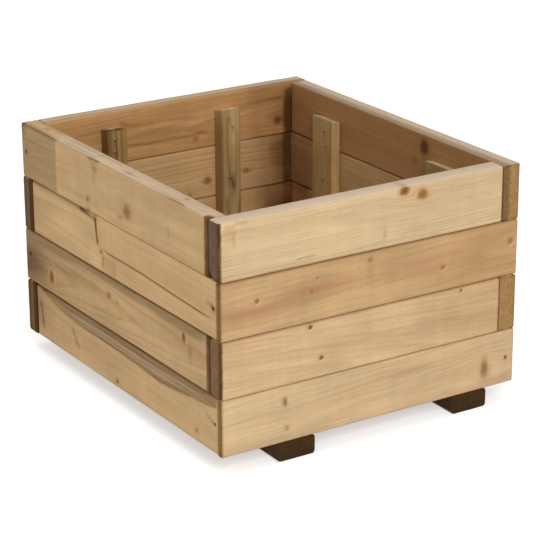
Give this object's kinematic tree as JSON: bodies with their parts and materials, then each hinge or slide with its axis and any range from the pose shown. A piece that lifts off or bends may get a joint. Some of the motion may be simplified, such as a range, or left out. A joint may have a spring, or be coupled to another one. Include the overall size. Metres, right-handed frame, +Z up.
{
  "type": "wooden planter box",
  "caption": "Open rectangular planter of stacked softwood boards with lapped corners, inner battens, a slatted floor and two bearers.",
  "frame": {"origin": "on the ground under the middle of the box", "axes": "+X to the right along the front wall as seen from outside, +Y from the front wall to the back wall, +Z up"},
  "size_m": [0.565, 0.655, 0.412],
  "materials": {
    "wall_boards": "planed, matt, unsealed",
    "battens": "planed, matt, unsealed",
    "floor_boards": "planed, matt, unsealed",
    "bearers": "dark brown preservative stain, matt",
    "nails": "bright wire, dulled"
  },
  "bodies": {
    "root": {"front_board_1": "wall_boards", "front_board_2": "wall_boards", "front_board_3": "wall_boards", "front_board_4": "wall_boards", "right_board_1": "wall_boards", "right_board_2": "wall_boards", "right_board_3": "wall_boards", "right_board_4": "wall_boards", "back_board_1": "wall_boards", "back_board_2": "wall_boards", "back_board_3": "wall_boards", "back_board_4": "wall_boards", "left_board_1": "wall_boards", "left_board_2": "wall_boards", "left_board_3": "wall_boards", "left_board_4": "wall_boards", "front_batten_left": "battens", "front_batten_right": "battens", "right_batten_front": "battens", "right_batten_rear": "battens", "back_batten_left": "battens", "back_batten_right": "battens", "left_batten_front": "battens", "left_batten_rear": "battens", "floor_board_1": "floor_boards", "floor_board_2": "floor_boards", "floor_board_3": "floor_boards", "floor_board_4": "floor_boards", "floor_board_5": "floor_boards", "floor_board_6": "floor_boards", "bearer_left": "bearers", "bearer_right": "bearers", "corner_nails": "nails"}
  },
  "joints": []
}
